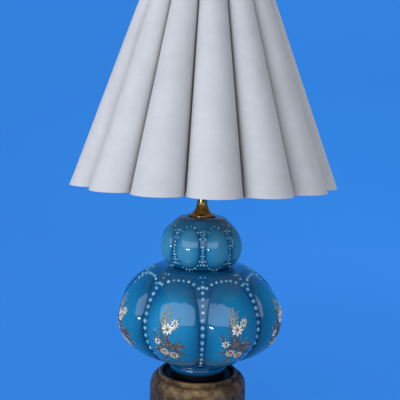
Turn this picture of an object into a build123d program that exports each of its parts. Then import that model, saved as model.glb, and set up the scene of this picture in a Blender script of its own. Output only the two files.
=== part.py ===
from build123d import *
import math
import os

# A table lamp: two lobed blown glass bodies stacked on a cast metal base, a brass
# trumpet cap, a lamp socket with a bulb, a wire harp and a fluted cone shade.
# Millimetres, +Z up, the origin on the floor under the middle of the base.
# The front is -Y. Angles are in degrees.

# Fits and clearances
run_fit = 0.08  # radial gap of a piece that turns or slides on another
loose_fit = 0.4  # radial gap round a part that only passes through

# Base
felt_thickness = 2.5
felt_inset = 3.0
base_height = 95.0  # floor to the top of the lip
drum_radius = 85.0
flange_reach = 7.5  # how far the foot flange stands out from the drum
flange_height = 8.0
flange_edge = 1.5  # bevel at the foot of the flange
flange_cove_height = 7.0
shoulder_drop = 29.0  # lip top down to where the shoulder meets the drum
lip_inner_radius = 63.4
lip_width = 7.0
lip_height = 6.5
lip_ledge = 2.6  # from the lip out to the top of the shoulder
lip_undercut = 1.2  # depth of the groove that sets the lip off
base_wall = 4.0
well_depth = 11.0
deck_thickness = 5.0
inlet_height = 26.0  # of the cord hole, above the floor
inlet_bore_radius = 3.5
bushing_wall = 1.8
bushing_flange_reach = 2.6
bushing_flange_thickness = 2.0
bushing_tail = 3.0  # how far the bushing stands inside the wall

# Centre rod and the parts stacked on it
pipe_radius = 4.9
pipe_bore_radius = 3.1
pipe_below_nut = 3.0
pipe_below_cup = 1.0  # how far the rod ends below the inside of the socket's cup
nut_flats = 17.5
nut_thickness = 5.0
washer_radius = 16.0
washer_thickness = 2.0
seat_radius = 57.0
seat_flange_thickness = 6.0
seat_reveal = 4.6  # from the base's lip up to the lower edge of the glass
spigot_height = 3.0
spigot_gap = 0.5

# Glass
lobe_count = 8
glass_turn = 2.5  # the glass stands turned a little, so a valley is near the front
glass_wall = 4.0
lobe_chords = 6  # flats across each lobe
bead_strip = 2.6  # half the smooth strip that is left between two lobes
strip_facing = 12.5  # bearing, from a lobe's middle, that the strip beside it faces
smallest_lobe_angle = 2.5  # half angle of a lobe where it has run out into the round body
foot_hole_radius = 40.0
foot_edge_radius = 47.0
foot_roll_radius = 51.0
foot_neck_radius = 48.5
foot_roll_height = 6.5
foot_roll_width = 3.0
foot_edge_height = 1.5
foot_neck_height = 12.5
foot_flare = 1.5  # how far the foot's neck opens out into the body
neck_join = 5.5  # from the foot's neck up to the first lobed level
rim_roll = 0.8  # height of the rolled rim that the two glasses meet on
shoulder_radius = 60.0
shoulder_spread = 12.0  # how far the shoulder stands out below the rolled rim
waist_hole_radius = 46.0
waist_gap = 1.2  # thickness of the collar's flange between the two glasses
collar_radius = 50.0
top_hole_radius = 17.0
crown_radius = 27.0
crown_crease_radius = 40.0
crown_rise = 5.2

# Each glass is a round body of two half ellipses. Its radius where it meets the pieces above
# and below sets how flat each half is. The lobes are wider ellipses that stand out of it.
lower_glass = {
    "height": 185.4,  # foot to top rim
    "belly_height": 101.7,  # foot to the widest level
    "radius": 133.2,
    "upper_end_radius": 75.35,
    "lower_end_radius": 42.04,
    "lobe_offset": 32.3,
    "lobe_reach": 113.4,
    "lobe_half_width": 85.9,
    "lobe_past_top": 2.9,  # from the body's end to where a lobe's own curve would end
    "lobe_past_bottom": 0.3,
}
upper_glass = {
    "height": 85.37,
    "belly_height": 35.0,
    "radius": 66.8,
    "upper_end_radius": crown_crease_radius,
    "lower_end_radius": 54.26,
    "lobe_offset": 14.7,
    "lobe_reach": 57.6,
    "lobe_half_width": 37.8,
    "lobe_past_top": 0.83,
    "lobe_past_bottom": 11.0,
}

# Trumpet cap
cap_rim_radius = 24.4
cap_rim_height = 2.2
cap_neck_radius = 10.6
cap_flare_height = 24.0
cap_height = 48.5
cap_wall = 1.4
cap_rim_edge = 0.8
cap_rim_ledge = 0.6  # from the rim's edge in to the foot of the flare

# Harp, its saddle and its sleeves
saddle_thickness = 1.8
saddle_half_span = 29.0
saddle_width = 8.1
saddle_eye_radius = 13.0
prong_height = 9.0
wire_radius = 2.2
harp_height = 330.0  # saddle to the middle of the top bend
harp_half_width = 62.0
harp_waist_half_width = 57.0
harp_top_half_width = 24.0
harp_waist_share = 0.6  # height of the waist over the whole harp
harp_leg_end = 6.0  # straight wire left above a lifted sleeve
harp_belly_rise = 38.0
harp_bends = [26.0, 42.0, 200.0, 19.0]  # leg, belly, waist and shoulder
sleeve_length = 18.0
sleeve_wall = 1.5
sleeve_lift = 12.0
sleeve_gap = 1.0  # from the saddle to a sleeve that is down
sleeve_lip = 0.8
sleeve_lip_height = 2.0
boss_radius = 7.0
boss_thickness = 4.8
rivet_radius = 2.4
stud_collar_radius = 6.4
stud_collar_height = 4.0
stud_radius = 3.17
stud_length = 13.0

# Lamp socket and switch
cap_collar_radius = 7.6
cap_collar_height = 8.0
socket_radius = 17.5
socket_cap_height = 17.0
socket_bowl_height = 6.5
socket_shell_height = 40.0
socket_skin = 0.8
insulator_thickness = 0.7
socket_block_radius = 14.8
socket_block_height = 22.0
wire_way_gap = 1.0
wire_way_depth = 3.0
screw_shell_radius = 14.0
screw_shell_skin = 0.5
screw_shell_height = 26.0
set_screw_radius = 1.6
set_screw_length = 6.0
set_screw_slot = 0.7
set_screw_slot_depth = 0.6
contact_radius = 4.0
contact_thickness = 1.2
contact_gap = 2.5  # between the centre contact and the screw shell
switch_height = 8.0  # above the lower edge of the socket shell
switch_rod_radius = 2.0
switch_rod_depth = 7.0
switch_rod_end_gap = 0.5
knob_radius = 6.5
knob_length = 13.0
knob_gap = 2.5
knob_flutes = 8
knob_flute_radius = 1.3
knob_flute_share = 1.08  # distance of a flute's middle over the knob's radius
shell_bead = 0.7
shell_bead_height = 3.0
insulator_gap = 0.3
insulator_end_gap = 0.5

# Bulb
bulb_radius = 30.0
bulb_neck_radius = 13.6
bulb_neck_length = 8.0
bulb_glass_wall = 1.0
bulb_length = 108.0
bulb_cap_radius = 13.1
bulb_cap_length = 24.5
bulb_cap_taper = 3.5
bulb_cap_ledge = 2.0  # from the tip contact out to the cap's taper
bulb_tip_radius = 5.0
bulb_tip_height = 2.6
bulb_tip_taper = 1.8

# Shade
flute_count = 14
shade_turn = 5.2  # a flute's crest stands this far round from the front
shade_bottom_radius = 228.6
shade_top_radius = 101.2
shade_height = 343.0
shade_above_spider = 7.73  # from the spider's seat up to the shade's top edge
shade_wall = 1.2
flute_chords = 8  # flats across each flute
flute_roundness = 0.88  # a flute's depth over half its width
ring_wire = 2.8
ring_inset = 0.6  # from the shade's edge to the ring
ring_grip = 0.15  # how far a ring sinks into the cover that is glued on it
spider_radius = 12.0
spider_thickness = 2.0
spider_arms = 3
arm_radius = 1.7
finial_hole_depth = 11.0
finial_height = 36.0
finial_radius = 9.0
finial_foot_radius = 7.5
finial_foot_height = 2.5
finial_waist_radius = 5.0
finial_waist_start = 4.5  # above the finial's lower face
finial_waist_end = 9.0
finial_ball_share = 0.56  # height of the ball's middle over the whole finial
finial_tip_radius = 3.6

# Heights that follow from the stack
deck_top = base_height - well_depth
deck_bottom = deck_top - deck_thickness
foot_height = base_height + seat_reveal
neck_top = foot_height + foot_neck_height + neck_join
waist_height = foot_height + lower_glass["height"]
upper_glass_bottom = waist_height + waist_gap
cap_bottom = upper_glass_bottom + upper_glass["height"]
crown_crease_height = cap_bottom - crown_rise
cap_top = cap_bottom + cap_height
nut_top = cap_top + nut_thickness
saddle_top = nut_top + saddle_thickness
socket_bottom = saddle_top + cap_collar_height
shell_bottom = socket_bottom + socket_cap_height
shell_top = shell_bottom + socket_shell_height
pipe_bottom = deck_bottom - washer_thickness - nut_thickness - pipe_below_nut
pipe_top = socket_bottom - pipe_below_cup
block_bottom = socket_bottom + socket_bowl_height
block_top = block_bottom + socket_block_height
harp_top = saddle_top + harp_height
boss_top = harp_top + boss_thickness / 2
spider_bottom = boss_top + stud_collar_height
finial_bottom = spider_bottom + spider_thickness
shade_top_height = spider_bottom + shade_above_spider
shade_rim_height = shade_top_height - shade_height


def turned(points):
    """Revolve a closed outline of (radius, height) points about the lamp's axis."""
    outline = Plane.XZ * make_face(Polyline(*points, close=True))
    return revolve(outline, Axis.Z)


def disc(radius, bottom, height, bore=0.0):
    """A round plate or tube, standing on the height given."""
    plate = Pos(0, 0, bottom) * extrude(Circle(radius), height)
    if bore:
        plate -= Pos(0, 0, bottom - 1) * extrude(Circle(bore), height + 2)
    return plate


def arc_points(centre, radii, start, stop, steps):
    """Points on an arc of a circle or ellipse, in (radius, height), from start to stop."""
    angles = [start + (stop - start) * k / steps for k in range(steps + 1)]
    return [
        (centre[0] + radii[0] * math.cos(math.radians(a)), centre[1] + radii[1] * math.sin(math.radians(a)))
        for a in angles
    ]


def polar(radius, angle, height=0.0):
    return (radius * math.cos(angle), radius * math.sin(angle), height)


def skinned(outlines):
    """A solid with flat sides between outlines at rising heights, each a list of points."""
    faces = [make_face(Polyline(*outline, close=True)) for outline in (outlines[0], outlines[-1])]
    for low, high in zip(outlines, outlines[1:]):
        for k in range(len(low)):
            corners = (low[k - 1], low[k], high[k], high[k - 1])
            faces.append(make_face(Polyline(*corners, close=True)))
    return Solid(Shell(faces))


# Base

def drum_profile():
    """Outer edge of the base from the foot up to the lip, as (radius, height)."""
    flange = drum_radius + flange_reach
    shoulder = base_height - shoulder_drop
    lip_base = base_height - lip_height
    shoulder_top_radius = lip_inner_radius + lip_width + lip_ledge
    foot = [(flange - flange_edge, felt_thickness), (flange, felt_thickness + flange_edge)]
    cove_middle = (flange, flange_height + flange_cove_height)
    cove = arc_points(cove_middle, (flange_reach, flange_cove_height), 270, 180, 3)
    slope = arc_points(
        (shoulder_top_radius, shoulder),
        (drum_radius - shoulder_top_radius, lip_base - shoulder),
        0,
        90,
        4,
    )
    lip_middle = (lip_inner_radius + lip_width / 2, base_height - lip_width / 2)
    lip = arc_points(lip_middle, (lip_width / 2, lip_width / 2), -20, 180, 6)
    groove = (lip_inner_radius + lip_width - lip_undercut / 2, lip_base - lip_undercut)
    return foot + cove + slope + [groove] + lip


def make_base_casting():
    outside = drum_profile()
    well = [(lip_inner_radius, deck_top), (0, deck_top), (0, felt_thickness)]
    body = turned(outside + well)
    hollow_radius = drum_radius - base_wall
    hollow = [
        (0, felt_thickness - 1),
        (hollow_radius, felt_thickness - 1),
        (hollow_radius, base_height - shoulder_drop - base_wall),
        (lip_inner_radius, deck_bottom),
        (0, deck_bottom),
    ]
    body -= turned(hollow)
    body -= disc(pipe_radius + loose_fit, deck_bottom - 1, deck_thickness + 2)
    body -= inlet_bore(inlet_bore_radius + bushing_wall, drum_radius - 2 * base_wall, 3 * base_wall)
    spot_depth = spot_face_depth()
    flange_radius = inlet_bore_radius + bushing_wall + bushing_flange_reach
    body -= inlet_bore(flange_radius + loose_fit, drum_radius - spot_depth, 2 * spot_depth)
    return body


def spot_face_depth():
    """Depth of the flat cut in the round drum that the bushing's flange sits on."""
    reach = inlet_bore_radius + bushing_wall + bushing_flange_reach + loose_fit
    return drum_radius - math.sqrt(drum_radius**2 - reach**2) + 0.3


def inlet_bore(radius, start, length):
    """A rod along +Y at the height of the cord inlet, at the back of the base."""
    return Pos(0, start, inlet_height) * Rot(-90, 0, 0) * extrude(Circle(radius), length)


def make_cord_bushing():
    seat = drum_radius - spot_face_depth()
    barrel = base_wall + bushing_tail - spot_face_depth()
    bushing = inlet_bore(inlet_bore_radius + bushing_wall, seat - barrel, barrel + bushing_flange_thickness)
    bushing += inlet_bore(
        inlet_bore_radius + bushing_wall + bushing_flange_reach, seat, bushing_flange_thickness
    )
    return bushing - inlet_bore(inlet_bore_radius, seat - barrel - 1, barrel + bushing_flange_thickness + 2)


def make_felt_pad():
    return disc(drum_radius + flange_reach - felt_inset, 0, felt_thickness)


def hex_nut(bottom):
    nut = Pos(0, 0, bottom) * extrude(RegularPolygon(nut_flats / 2, 6, major_radius=False), nut_thickness)
    return nut - disc(pipe_radius, bottom - 1, nut_thickness + 2)


def make_foot_seat():
    """The black turned piece in the base's well that carries the glass foot."""
    points = [
        (pipe_radius + loose_fit, deck_top),
        (seat_radius, deck_top),
        (seat_radius, deck_top + seat_flange_thickness),
        (foot_edge_radius, deck_top + seat_flange_thickness),
        (foot_edge_radius, foot_height),
        (foot_hole_radius - spigot_gap, foot_height),
        (foot_hole_radius - spigot_gap, foot_height + spigot_height),
        (pipe_radius + loose_fit, foot_height + spigot_height),
    ]
    return turned(points)


def make_lamp_pipe():
    return disc(pipe_radius, pipe_bottom, pipe_top - pipe_bottom, pipe_bore_radius)


# Glass

def glass_form(glass, bottom, lobed_bottom, lobed_top):
    """The ellipses of one glass's body and lobes, between the levels where its body ends."""
    centre = bottom + glass["belly_height"]

    def half_height(reach, end_radius):
        return reach / math.sqrt(1 - (end_radius / glass["radius"]) ** 2)

    return {
        **glass,
        "centre": centre,
        "up": half_height(lobed_top - centre, glass["upper_end_radius"]),
        "down": half_height(centre - lobed_bottom, glass["lower_end_radius"]),
        "lobe_up": lobed_top - centre + glass["lobe_past_top"],
        "lobe_down": centre - lobed_bottom + glass["lobe_past_bottom"],
        "round_at": {},
    }


def body_radius(form, height):
    """Radius of the smooth glass body, without its lobes, at a height."""
    rise = height - form["centre"]
    half = form["up"] if rise > 0 else form["down"]
    return form["radius"] * math.sqrt(max(1 - (rise / half) ** 2, 0))


def lobe_roundness(form):
    """Depth of a lobe's arc over half its width, at the widest level of the body."""
    half_angle = math.pi / lobe_count - bead_strip / form["radius"]
    crest = form["lobe_offset"] + form["lobe_reach"]
    depth = crest - form["radius"] * math.cos(half_angle)
    return depth / (form["radius"] * math.sin(half_angle))


def lobe_section(form, height):
    """Half angle and crest radius of a lobe where it stands out of the body at a height."""
    radius = form["round_at"].get(height, body_radius(form, height))
    rise = height - form["centre"]
    half = form["lobe_up"] if rise > 0 else form["lobe_down"]
    share = math.sqrt(max(1 - (rise / half) ** 2, 0))
    reach, width = form["lobe_reach"] * share, form["lobe_half_width"] * share
    crest = form["lobe_offset"] + reach
    smallest = math.radians(smallest_lobe_angle)
    largest = math.pi / lobe_count - bead_strip / form["radius"]
    if crest <= radius or height in form["round_at"]:
        return smallest, radius
    a = radius**2 * (1 / reach**2 - 1 / width**2)
    b = -2 * radius * form["lobe_offset"] / reach**2
    c = (form["lobe_offset"] / reach) ** 2 + (radius / width) ** 2 - 1
    cosine = (-b - math.sqrt(max(b * b - 4 * a * c, 0))) / (2 * a)
    half_angle = math.acos(min(max(cosine, -1), 1))
    return min(max(half_angle, smallest), largest), crest


def lobed_outline(form, height, inset):
    """The glass outline at one height: a lobe's arc in short chords and a valley point, for
    each lobe. Every chord keeps its direction at all heights, so the faces between are flat."""
    roundness = lobe_roundness(form)
    half_angle, crest = lobe_section(form, height)
    edge = crest / (math.cos(half_angle) + roundness * math.sin(half_angle))
    half_width = edge * math.sin(half_angle)
    sweep_half = 2 * math.atan(roundness)
    arc = half_width / math.sin(sweep_half)
    step = 2 * math.pi / lobe_count
    facing = math.radians(strip_facing)
    valley = edge * math.cos(half_angle - facing) / math.cos(step / 2 - facing)
    scale = 1 - inset / crest
    points = []
    for k in range(lobe_count):
        middle = math.radians(glass_turn - 90) + (k + 0.5) * step
        for i in range(lobe_chords + 1):
            turn = sweep_half * (2 * i / lobe_chords - 1)
            along = crest - arc + arc * math.cos(turn)
            across = arc * math.sin(turn)
            bearing = middle + math.atan2(across, along)
            points.append(polar(scale * math.hypot(along, across), bearing, height))
        points.append(polar(scale * valley, middle + step / 2, height))
    return points


def lobed_solid(form, heights, inset=0.0):
    return skinned([lobed_outline(form, height, inset) for height in heights])


def lobe_heights(form, steps, top_angle, bottom_angle):
    """Heights of the outlines, spaced evenly round the curve of the lobes."""
    down = [-bottom_angle * k / steps for k in range(steps, 0, -1)]
    up = [top_angle * k / steps for k in range(steps + 1)]
    angles = [math.radians(a) for a in down + up]
    return [
        form["centre"] + math.sin(a) * (form["lobe_up"] if a > 0 else form["lobe_down"]) for a in angles
    ]


def make_lower_glass():
    form = glass_form(lower_glass, foot_height, neck_top, waist_height)
    shoulder_height = waist_height - rim_roll
    form["round_at"] = {
        neck_top: foot_neck_radius + foot_flare,
        shoulder_height: shoulder_radius + shoulder_spread,
        waist_height: shoulder_radius,
    }
    between = lobe_heights(form, 6, 72, 74)
    heights = [neck_top] + between + [shoulder_height, waist_height]
    glass = lobed_solid(form, heights)
    foot = [(foot_edge_radius, foot_height)]
    roll_middle = (foot_roll_radius - foot_roll_width, foot_height + foot_roll_height)
    foot += arc_points(roll_middle, (foot_roll_width, foot_roll_height - foot_edge_height), -70, 70, 4)
    foot += [(foot_neck_radius, foot_height + foot_neck_height), (foot_neck_radius + foot_flare, neck_top)]
    foot += [(0, neck_top), (0, foot_height)]
    glass += turned(foot)
    inside = [neck_top + 2 * glass_wall] + between[2:-1:2] + [waist_height - 2 * glass_wall]
    form["round_at"] = {
        neck_top + 2 * glass_wall: foot_neck_radius + glass_wall,
        waist_height - 2 * glass_wall: shoulder_radius + 2 * glass_wall,
    }
    glass -= lobed_solid(form, inside, glass_wall)
    glass -= disc(foot_hole_radius, foot_height - 1, neck_top + 3 * glass_wall - foot_height)
    glass -= disc(waist_hole_radius, waist_height - 3 * glass_wall, 4 * glass_wall)
    return glass


def make_waist_collar():
    """A turned disc between the two glasses, with a spigot into each."""
    spigot = waist_hole_radius - spigot_gap
    points = [
        (pipe_radius + loose_fit, waist_height - spigot_height),
        (spigot, waist_height - spigot_height),
        (spigot, waist_height),
        (collar_radius, waist_height),
        (collar_radius, waist_height + waist_gap),
        (spigot, waist_height + waist_gap),
        (spigot, waist_height + waist_gap + spigot_height),
        (pipe_radius + loose_fit, waist_height + waist_gap + spigot_height),
    ]
    return turned(points)


def make_upper_glass():
    bottom = upper_glass_bottom
    crease = crown_crease_height
    form = glass_form(upper_glass, bottom, bottom, crease)
    form["round_at"] = {crease: crown_crease_radius, cap_bottom: crown_radius}
    between = lobe_heights(form, 5, 62, 40)
    heights = [bottom] + [h for h in between if bottom + 2 < h < crease - 1] + [crease, cap_bottom]
    glass = lobed_solid(form, heights)
    inside = [bottom + glass_wall] + [h for h in between[1::2] if h > bottom + 2 * glass_wall]
    inside += [crease - glass_wall]
    form["round_at"] = {crease - glass_wall: crown_crease_radius}
    glass -= lobed_solid(form, inside, glass_wall)
    glass -= disc(waist_hole_radius, bottom - 1, 2 * glass_wall)
    glass -= disc(top_hole_radius, crease - 2 * glass_wall, crown_rise + 3 * glass_wall)
    return glass


# Trumpet cap and neck

def make_trumpet_cap():
    """A spun brass flare that covers the top hole of the glass, with a straight neck."""
    flare = arc_points(
        (cap_rim_radius - cap_rim_ledge, cap_bottom + cap_rim_height + cap_flare_height),
        (cap_rim_radius - cap_rim_ledge - cap_neck_radius, cap_flare_height),
        270,
        180,
        6,
    )
    rim = [(cap_rim_radius - cap_rim_edge, cap_bottom), (cap_rim_radius, cap_bottom + cap_rim_height / 2)]
    outside = rim + flare + [(cap_neck_radius, cap_top)]
    inside = [(r - cap_wall, z - cap_wall / 2) for r, z in reversed(flare[::2])]
    points = outside + [(cap_neck_radius - cap_wall, cap_top)] + inside
    points += [(flare[0][0] - cap_wall, cap_bottom)]
    cap = turned(points)
    # The top is closed on the rod, so that the nut can clamp the whole stack
    return cap + disc(cap_neck_radius, cap_top - 2 * cap_wall, 2 * cap_wall, pipe_radius + run_fit)


# Harp and saddle

def make_harp_saddle():
    plate = Pos(0, 0, nut_top) * extrude(
        SlotCenterToCenter(2 * saddle_half_span, saddle_width), saddle_thickness
    )
    plate += disc(saddle_eye_radius, nut_top, saddle_thickness)
    for side in (-1, 1):
        prong = Pos(side * saddle_half_span, 0, saddle_top) * extrude(Circle(wire_radius), prong_height)
        plate += prong
    return plate - disc(pipe_radius + run_fit, nut_top - 1, saddle_thickness + 2)


def make_harp_wire():
    """One bent wire: straight legs for the sleeves, a wide belly round the bulb, a narrow top."""
    leg_foot = saddle_top + prong_height
    leg_top = leg_foot + sleeve_length + sleeve_lift + harp_leg_end
    belly = leg_top + harp_belly_rise
    waist = saddle_top + harp_waist_share * harp_height
    right = [
        (saddle_half_span, leg_foot),
        (saddle_half_span, leg_top),
        (harp_half_width, belly),
        (harp_waist_half_width, waist),
        (harp_top_half_width, harp_top),
    ]
    points = right + [(-x, z) for x, z in reversed(right)]
    path = Plane.XZ * FilletPolyline(*points, radius=harp_bends + harp_bends[::-1])
    section = Pos(saddle_half_span, 0, leg_foot) * Circle(wire_radius)
    wire = sweep(section, path=path)
    boss_bottom = harp_top - boss_thickness / 2
    wire += disc(boss_radius, boss_bottom, boss_thickness)
    return wire - disc(rivet_radius, boss_bottom - wire_radius, 3 * wire_radius + boss_thickness)


def make_harp_stud():
    """The stud on top of the harp: a rivet shank, a collar for the shade and a thread."""
    stud = disc(rivet_radius, harp_top - boss_thickness / 2, boss_thickness)
    stud += disc(stud_collar_radius, boss_top, stud_collar_height)
    return stud + disc(stud_radius, spider_bottom, stud_length)


def make_harp_sleeve(side):
    bore = wire_radius + run_fit
    sleeve_bottom = saddle_top + sleeve_gap
    sleeve = disc(bore + sleeve_wall, sleeve_bottom, sleeve_length, bore)
    sleeve += disc(bore + sleeve_wall + sleeve_lip, sleeve_bottom, sleeve_lip_height, bore)
    return Pos(side * saddle_half_span, 0, 0) * sleeve


# Lamp socket

def make_socket_cap():
    """The lower half of the socket: a collar screwed on the rod and an open cup."""
    collar_bore = pipe_radius + run_fit
    bowl_middle = (cap_collar_radius, socket_bottom + socket_bowl_height)
    bowl_reach = socket_radius - cap_collar_radius
    bowl = arc_points(bowl_middle, (bowl_reach, socket_bowl_height), 270, 360, 2)
    inner_radii = (bowl_reach - socket_skin, socket_bowl_height - socket_skin)
    inner_bowl = arc_points(bowl_middle, inner_radii, 360, 270, 2)
    points = [(collar_bore, saddle_top), (cap_collar_radius, saddle_top)] + bowl
    points += [(socket_radius, shell_bottom), (socket_radius - socket_skin, shell_bottom)] + inner_bowl
    points += [(collar_bore, socket_bottom + socket_skin)]
    cap = turned(points)
    screw_z = saddle_top + cap_collar_height / 2
    return cap - Pos(0, 0, screw_z) * Rot(0, 90, 0) * extrude(Circle(set_screw_radius), cap_collar_radius + 1)


def make_set_screw():
    screw_z = saddle_top + cap_collar_height / 2
    tip = pipe_radius + run_fit
    screw = Pos(tip, 0, screw_z) * Rot(0, 90, 0) * extrude(Circle(set_screw_radius), set_screw_length)
    slot = Pos(tip + set_screw_length, 0, screw_z) * Box(
        2 * set_screw_slot_depth, 3 * set_screw_radius, set_screw_slot
    )
    return screw - slot


def switch_axis_height():
    return shell_bottom + switch_height


def front_rod(radius, start, length):
    """A rod along -Y at the height of the switch."""
    return Pos(0, -start, switch_axis_height()) * Rot(90, 0, 0) * extrude(Circle(radius), length)


def make_socket_shell():
    skin = disc(socket_radius, shell_bottom, socket_shell_height, socket_radius - socket_skin)
    bead = disc(socket_radius + shell_bead, shell_bottom, shell_bead_height, socket_radius - socket_skin)
    return skin + bead - front_rod(switch_rod_radius + 2 * loose_fit, socket_radius / 2, socket_radius)


def make_socket_insulator():
    outer = socket_radius - socket_skin - insulator_gap
    length = socket_shell_height - 3 * insulator_end_gap
    sleeve = disc(outer, shell_bottom + insulator_end_gap, length, outer - insulator_thickness)
    return sleeve - front_rod(switch_rod_radius + 2 * loose_fit, socket_radius / 2, socket_radius)


def make_socket_block():
    """The moulded core that carries the contacts and the switch."""
    block = disc(socket_block_radius, block_bottom, socket_block_height)
    wire_way = disc(pipe_bore_radius + wire_way_gap, block_bottom - 1, wire_way_depth + 1)
    rod_hole = front_rod(
        switch_rod_radius + run_fit, socket_block_radius - switch_rod_depth, switch_rod_depth + 1
    )
    return block - wire_way - rod_hole


def make_screw_shell():
    bore = screw_shell_radius - screw_shell_skin
    tube = disc(screw_shell_radius, block_top, screw_shell_height, bore)
    return tube + disc(screw_shell_radius, block_top, screw_shell_skin, contact_radius + contact_gap)


def make_centre_contact():
    return disc(contact_radius, block_top, contact_thickness)


def make_switch_knob():
    """The turn switch: a rod into the socket core and a fluted knob in front of the shell."""
    back = socket_radius + shell_bead + knob_gap
    rod_start = socket_block_radius - switch_rod_depth + switch_rod_end_gap
    knob = front_rod(knob_radius, back, knob_length)
    for k in range(knob_flutes):
        angle = 2 * math.pi * k / knob_flutes
        reach = knob_radius * knob_flute_share
        place = Pos(reach * math.cos(angle), 0, reach * math.sin(angle))
        knob -= place * front_rod(knob_flute_radius, back - 1, knob_length + 2)
    return knob + front_rod(switch_rod_radius, rod_start, back - rod_start)


# Bulb

def bulb_bottom():
    return block_top + contact_thickness


def bulb_profile(inset, first_height):
    """Half outline of the pear-shaped envelope from the cap up to the crown."""
    top = bulb_bottom() + bulb_length
    centre = top - bulb_radius
    ball = arc_points((0, centre), (bulb_radius - inset, bulb_radius - inset), -35, 90, 5)
    neck_top = first_height + bulb_neck_length
    return [(bulb_neck_radius - inset, first_height), (bulb_neck_radius - inset, neck_top)] + ball


def make_bulb_glass():
    base = bulb_bottom() + bulb_tip_height + bulb_cap_length
    outside = turned(bulb_profile(0, base) + [(0, base)])
    inner_base = base + bulb_glass_wall
    inside = turned(bulb_profile(bulb_glass_wall, inner_base) + [(0, inner_base)])
    return outside - inside


def make_bulb_cap():
    bottom = bulb_bottom() + bulb_tip_height
    top = bottom + bulb_cap_length
    points = [
        (0, bottom),
        (bulb_tip_radius + bulb_cap_ledge, bottom),
        (bulb_cap_radius, bottom + bulb_cap_taper),
        (bulb_cap_radius, top),
        (0, top),
    ]
    return turned(points)


def make_bulb_tip():
    bottom = bulb_bottom()
    points = [
        (0, bottom),
        (bulb_tip_radius - bulb_tip_taper, bottom),
        (bulb_tip_radius, bottom + bulb_tip_height),
        (0, bottom + bulb_tip_height),
    ]
    return turned(points)


# Shade

def crest_radius(height):
    """Radius of the flutes' crests at a height: the shade is a straight cone."""
    share = (height - shade_rim_height) / shade_height
    return shade_bottom_radius + (shade_top_radius - shade_bottom_radius) * share


def flute_arc(crest):
    """Valley radius, arc radius and arc centre of one flute, from its crest radius."""
    half = math.pi / flute_count
    valley = crest / (math.cos(half) + flute_roundness * math.sin(half))
    half_width = valley * math.sin(half)
    depth = flute_roundness * half_width
    arc = (half_width**2 + depth**2) / (2 * depth)
    return valley, arc, crest - arc


def fluted_outline(height, inset=0.0):
    """The shade's outline at a height, drawn in by the inset: each flute's arc in short
    chords, and one more point inside each valley line where the outline is drawn in."""
    crest = crest_radius(height)
    valley, arc, centre = flute_arc(crest)
    step = 2 * math.pi / flute_count
    end_turn = math.pi - math.atan2(valley * math.sin(step / 2), centre - valley * math.cos(step / 2))
    points = []
    for k in range(flute_count):
        middle = math.radians(shade_turn - 90) + k * step
        for i in range(flute_chords + 1):
            turn = end_turn * (2 * i / flute_chords - 1)
            along = centre + (arc - inset) * math.cos(turn)
            across = (arc - inset) * math.sin(turn)
            if i < flute_chords or inset:
                points.append(polar(math.hypot(along, across), middle + math.atan2(across, along), height))
        if inset:
            points.append(polar(valley - inset, middle + step / 2, height))
    return points


def fluted_band(bottom, top, outer_inset, inner_inset):
    """A band of the fluted cone between two heights and two insets."""
    outer = skinned([fluted_outline(bottom, outer_inset), fluted_outline(top, outer_inset)])
    inner = skinned([fluted_outline(bottom - 1, inner_inset), fluted_outline(top + 1, inner_inset)])
    return outer - inner


def make_shade_cover():
    return fluted_band(shade_rim_height, shade_top_height, 0.0, shade_wall)


def make_shade_ring(bottom):
    inset = shade_wall - ring_grip
    return fluted_band(bottom, bottom + ring_wire, inset, inset + ring_wire)


def ring_inner_radius(angle, height):
    """Distance from the axis to the middle of the top ring at an angle."""
    valley, arc, centre = flute_arc(crest_radius(height))
    step = 2 * math.pi / flute_count
    offset = (angle - math.radians(shade_turn - 90) + step / 2) % step - step / 2
    middle_arc = arc - shade_wall + ring_grip - ring_wire / 2
    return centre * math.cos(offset) + math.sqrt(middle_arc**2 - (centre * math.sin(offset)) ** 2)


def top_ring_bottom():
    return shade_top_height - ring_inset - ring_wire


def make_shade_spider():
    """The washer on the harp's stud and its arms out to the top ring."""
    spider = disc(spider_radius, spider_bottom, spider_thickness)
    ring_middle = top_ring_bottom() + ring_wire / 2
    start_radius = spider_radius - arm_radius
    start_height = spider_bottom + spider_thickness / 2
    for k in range(spider_arms):
        angle = 2 * math.pi * k / spider_arms + math.pi / 2
        reach = ring_inner_radius(angle, ring_middle)
        start = Vector(*polar(start_radius, angle, start_height))
        stop = Vector(*polar(reach, angle, ring_middle))
        along = Plane(origin=start, z_dir=stop - start)
        spider += extrude(along * Circle(arm_radius), (stop - start).length)
    spider -= disc(spider_radius - 2 * arm_radius, spider_bottom - 5, 5)
    hole = disc(stud_radius + loose_fit, spider_bottom - 1, spider_thickness + 2)
    return spider - hole


def make_finial():
    """A turned brass knob that screws down on the stud and holds the shade."""
    ball = finial_bottom + finial_height * finial_ball_share
    tip_height = ball + 4 / 3 * finial_radius
    points = [(0, finial_bottom), (finial_foot_radius, finial_bottom)]
    points += [(finial_foot_radius, finial_bottom + finial_foot_height)]
    points += [(finial_waist_radius, finial_bottom + finial_waist_start)]
    points += [(finial_waist_radius, finial_bottom + finial_waist_end)]
    points += arc_points((0, ball), (finial_radius, finial_radius), -50, 55, 4)
    points += [(finial_tip_radius, tip_height), (0, finial_bottom + finial_height)]
    return turned(points) - disc(stud_radius + run_fit, finial_bottom - 1, finial_hole_depth + 2)


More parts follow.
